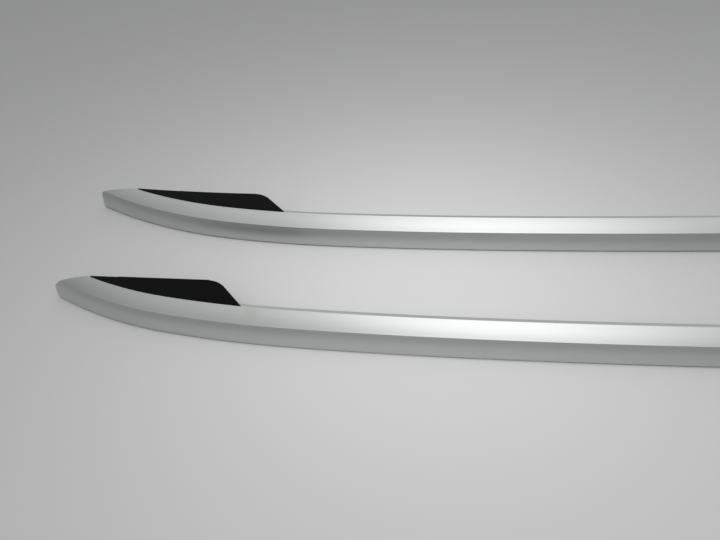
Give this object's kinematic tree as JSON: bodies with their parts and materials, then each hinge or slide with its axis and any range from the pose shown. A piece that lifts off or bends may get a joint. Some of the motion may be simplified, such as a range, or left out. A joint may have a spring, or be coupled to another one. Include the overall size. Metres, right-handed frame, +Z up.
{
  "type": "roof side rail pair",
  "caption": "Left and right raised roof rails: bent hollow aluminium extrusions with a bevelled outer side, tapered tips and black moulded feet that bolt to a car roof.",
  "frame": {"origin": "centre of the pair's outline on the table that it lies on", "axes": "+X along the rails, from the left rail's rear to its front; +Y towards the roof side of both rails; +Z up from the table, which is outboard on the car"},
  "size_m": [1.646, 0.2754, 0.0332],
  "materials": {
    "anodised_aluminium": "satin anodised, drawn along the rail",
    "foot_plastic": "fine grained satin black",
    "plug_plastic": "plain moulded black",
    "seal_rubber": "matt black rubber",
    "insert_brass": "turned",
    "zinc_steel": "bright zinc plated"
  },
  "bodies": {
    "root": {"left_front_end_plug": "plug_plastic", "left_front_foot": "foot_plastic", "left_front_foot_screws": "zinc_steel", "left_front_gasket": "seal_rubber", "left_front_inserts": "insert_brass", "left_front_square_nuts": "zinc_steel", "left_rail": "anodised_aluminium", "left_rear_end_plug": "plug_plastic", "left_rear_foot": "foot_plastic", "left_rear_foot_screws": "zinc_steel", "left_rear_gasket": "seal_rubber", "left_rear_inserts": "insert_brass", "left_rear_square_nuts": "zinc_steel", "right_front_end_plug": "plug_plastic", "right_front_foot": "foot_plastic", "right_front_foot_screws": "zinc_steel", "right_front_gasket": "seal_rubber", "right_front_inserts": "insert_brass", "right_front_square_nuts": "zinc_steel", "right_rail": "anodised_aluminium", "right_rear_end_plug": "plug_plastic", "right_rear_foot": "foot_plastic", "right_rear_foot_screws": "zinc_steel", "right_rear_gasket": "seal_rubber", "right_rear_inserts": "insert_brass", "right_rear_square_nuts": "zinc_steel"}
  },
  "joints": []
}
